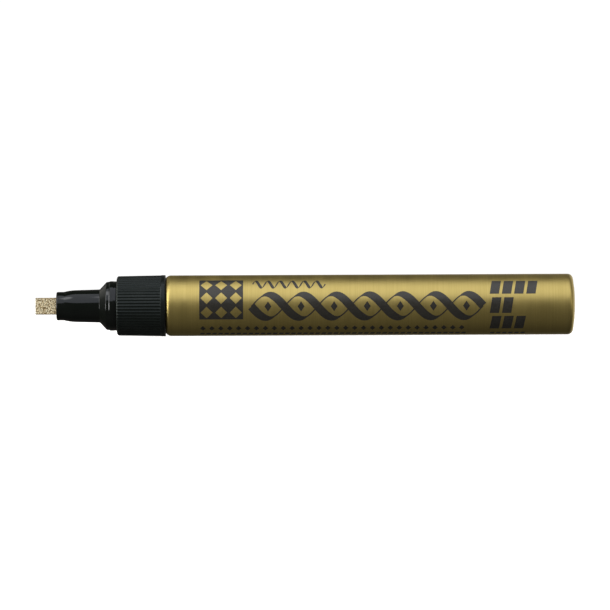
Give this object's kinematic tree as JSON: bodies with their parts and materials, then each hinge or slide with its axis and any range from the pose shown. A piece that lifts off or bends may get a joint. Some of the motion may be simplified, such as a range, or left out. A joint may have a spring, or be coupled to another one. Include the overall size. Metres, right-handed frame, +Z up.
{
  "type": "calligraphy marker",
  "caption": "Valve-action paint marker with a flat chisel nib, black nib holder, ribbed collar and a round gold metal barrel, shown without its cap.",
  "frame": {"origin": "centre of the marker's bounding box in plan, on the surface that it lies on", "axes": "+X along the marker towards the closed rear end, nib towards -X; +Z up; the printed front of the barrel faces -Y"},
  "size_m": [0.1334, 0.0152, 0.0152],
  "materials": {
    "gold_lacquer": "satin gold lacquer on brushed aluminium, printed in black",
    "matt_black": "matt moulded black",
    "gloss_black": "glossy moulded black",
    "stained_fibre": "bonded fibre stained by metallic gold paint",
    "inked_felt": "felt soaked in gold paint",
    "natural_plastic": "natural moulded polypropylene",
    "white_plastic": "white moulded acetal",
    "black_rubber": "matt black rubber",
    "spring_steel": "drawn stainless wire",
    "ball_steel": "polished ball"
  },
  "bodies": {
    "casing": {"barrel": "gold_lacquer", "mouth_packing": "black_rubber", "collar": "matt_black", "nozzle": "gloss_black", "ink_sleeve": "inked_felt", "valve_gasket": "black_rubber", "valve_body": "natural_plastic", "valve_spring": "spring_steel", "valve_cage": "white_plastic"},
    "plunger": {"valve_stem": "white_plastic", "stem_seal": "black_rubber"},
    "tip": {"nib": "stained_fibre"},
    "ball_near": {"mixing_ball_near": "ball_steel"},
    "ball_far": {"mixing_ball_far": "ball_steel"}
  },
  "joints": [
    {"name": "valve_press", "type": "slide", "parent": "casing", "child": "plunger", "axis": [1, 0, 0], "range_m": [0, 0.0016], "stiffness_N_per_m": 1500, "springref_m": -0.0008, "deforming": ["valve_spring"]},
    {"name": "nib_pull", "type": "slide", "parent": "plunger", "child": "tip", "axis": [-1, 0, 0], "range_m": [0, 0.022]},
    {"name": "ball_near_roll", "type": "slide", "parent": "casing", "child": "ball_near", "axis": [-1, 0, 0], "range_m": [0, 0.0826]},
    {"name": "ball_far_roll", "type": "slide", "parent": "casing", "child": "ball_far", "axis": [-1, 0, 0], "range_m": [0, 0.0826]}
  ]
}
